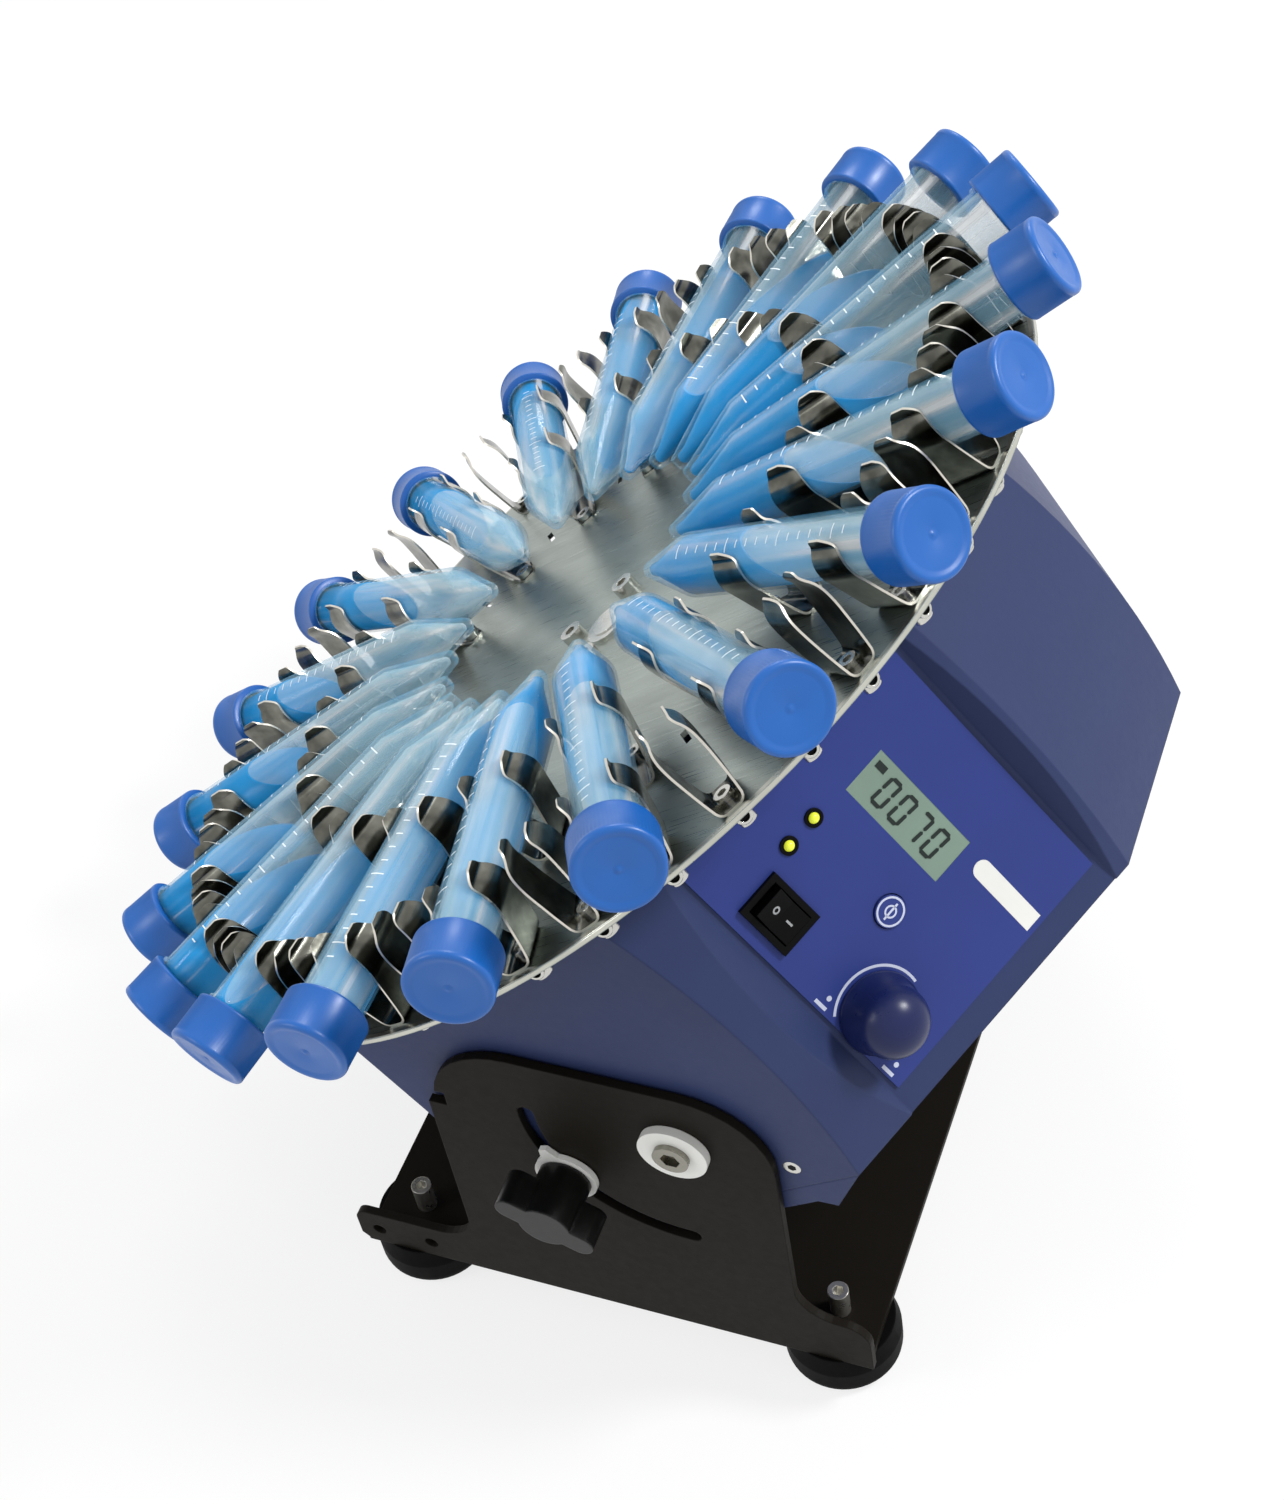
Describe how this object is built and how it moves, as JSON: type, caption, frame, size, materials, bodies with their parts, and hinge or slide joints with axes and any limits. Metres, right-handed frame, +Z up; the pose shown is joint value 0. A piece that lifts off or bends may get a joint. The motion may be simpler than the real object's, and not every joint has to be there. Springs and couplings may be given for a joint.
{
  "type": "tube rotator",
  "caption": "Bench tube rotator: a tilting drive head on a sheet-metal stand turns a steel disc of radial spring clips that hold capped sample tubes.",
  "frame": {"origin": "on the bench, under the middle of the stand's base plate, between the four feet", "axes": "+X along the stand's cheeks towards the rear cover's side, the disc rises that way; +Y away from the operator, along the tilt axis; +Z up"},
  "size_m": [0.3001, 0.3274, 0.288],
  "materials": {
    "black_coat": "satin powder coat",
    "foot_rubber": "matt",
    "bright_steel": "bright",
    "white_plastic": "satin",
    "housing_blue": "fine texture",
    "cast_alloy": "machined",
    "motor_can": "plated",
    "board_green": "varnished",
    "panel_blue": "printed film",
    "button_face": "film",
    "display_grey": "gloss",
    "black_plastic": "satin",
    "lamp_yellow": "gloss",
    "knob_black": "satin",
    "knob_navy": "gloss",
    "disc_steel": "brushed",
    "spring_steel": "polished",
    "cap_blue": "satin",
    "tube_clear": "clear"
  },
  "bodies": {
    "stand": {"bracket": "black_coat", "feet": "foot_rubber", "foot_studs": "bright_steel", "pivot_bolts": "bright_steel", "pivot_washers": "white_plastic"},
    "head": {"housing_shell": "housing_blue", "front_plate": "housing_blue", "rear_cover": "housing_blue", "housing_screws": "bright_steel", "bearing_housing": "cast_alloy", "shaft_bearings": "bright_steel", "gear_motor": "motor_can", "control_board": "board_green", "control_panel": "panel_blue", "display_module": "display_grey", "lamp_bezels": "black_plastic", "indicator_lamps": "lamp_yellow", "power_switch_body": "black_plastic", "speed_control": "motor_can", "button_switch": "black_plastic", "power_inlet": "black_plastic", "clamp_stud": "bright_steel", "pointer_washer": "white_plastic"},
    "clamp": {"clamp_knob": "knob_black"},
    "rocker": {"power_rocker": "black_plastic"},
    "button": {"mode_button": "button_face"},
    "speed_dial": {"speed_knob": "knob_navy", "knob_shaft": "bright_steel"},
    "rotor": {"motor_shaft": "bright_steel", "drive_coupling": "cast_alloy", "rotor_shaft": "bright_steel", "rotor_hub": "bright_steel", "hub_bolts": "bright_steel", "rotor_disc": "disc_steel", "inner_clips": "spring_steel", "outer_clips": "spring_steel", "small_clips": "spring_steel", "clip_screws": "bright_steel", "clip_nuts": "bright_steel", "tube_caps": "cap_blue", "tube_1": "tube_clear", "tube_2": "tube_clear", "tube_3": "tube_clear", "tube_4": "tube_clear", "tube_5": "tube_clear", "tube_6": "tube_clear", "tube_7": "tube_clear", "tube_8": "tube_clear", "tube_9": "tube_clear", "tube_10": "tube_clear", "tube_11": "tube_clear", "tube_12": "tube_clear", "tube_13": "tube_clear", "tube_14": "tube_clear", "tube_15": "tube_clear", "tube_16": "tube_clear", "tube_17": "tube_clear", "tube_18": "tube_clear", "tube_19": "tube_clear", "tube_20": "tube_clear"}
  },
  "joints": [
    {"name": "head_tilt", "type": "hinge", "parent": "stand", "child": "head", "pos_m": [0.0313, 0, 0.1075], "axis": [0, -1, 0], "range_deg": [-36.3, 18.7]},
    {"name": "clamp_turn", "type": "hinge", "parent": "head", "child": "clamp", "pos_m": [-0.00279, -0.13, 0.08246], "axis": [0, -1, 0], "range_deg": [0, 360]},
    {"name": "rotor_spin", "type": "hinge", "parent": "head", "child": "rotor", "pos_m": [-0.03435, 0, 0.18336], "axis": [-0.592, 0, 0.8059], "continuous": true},
    {"name": "speed_turn", "type": "hinge", "parent": "head", "child": "speed_dial", "pos_m": [0.07925, -0.09104, 0.14309], "axis": [-0.6626, 0.5693, -0.4867], "range_deg": [-135, 135]},
    {"name": "power_rock", "type": "hinge", "parent": "head", "child": "rocker", "pos_m": [0.05473, -0.09005, 0.17434], "axis": [-0.4588, -0.8221, -0.337], "range_deg": [0, 14]},
    {"name": "button_push", "type": "slide", "parent": "head", "child": "button", "axis": [-0.6626, 0.5693, -0.4867], "range_m": [0, 0.001], "stiffness_N_per_m": 300, "springref_m": -0.0005}
  ]
}
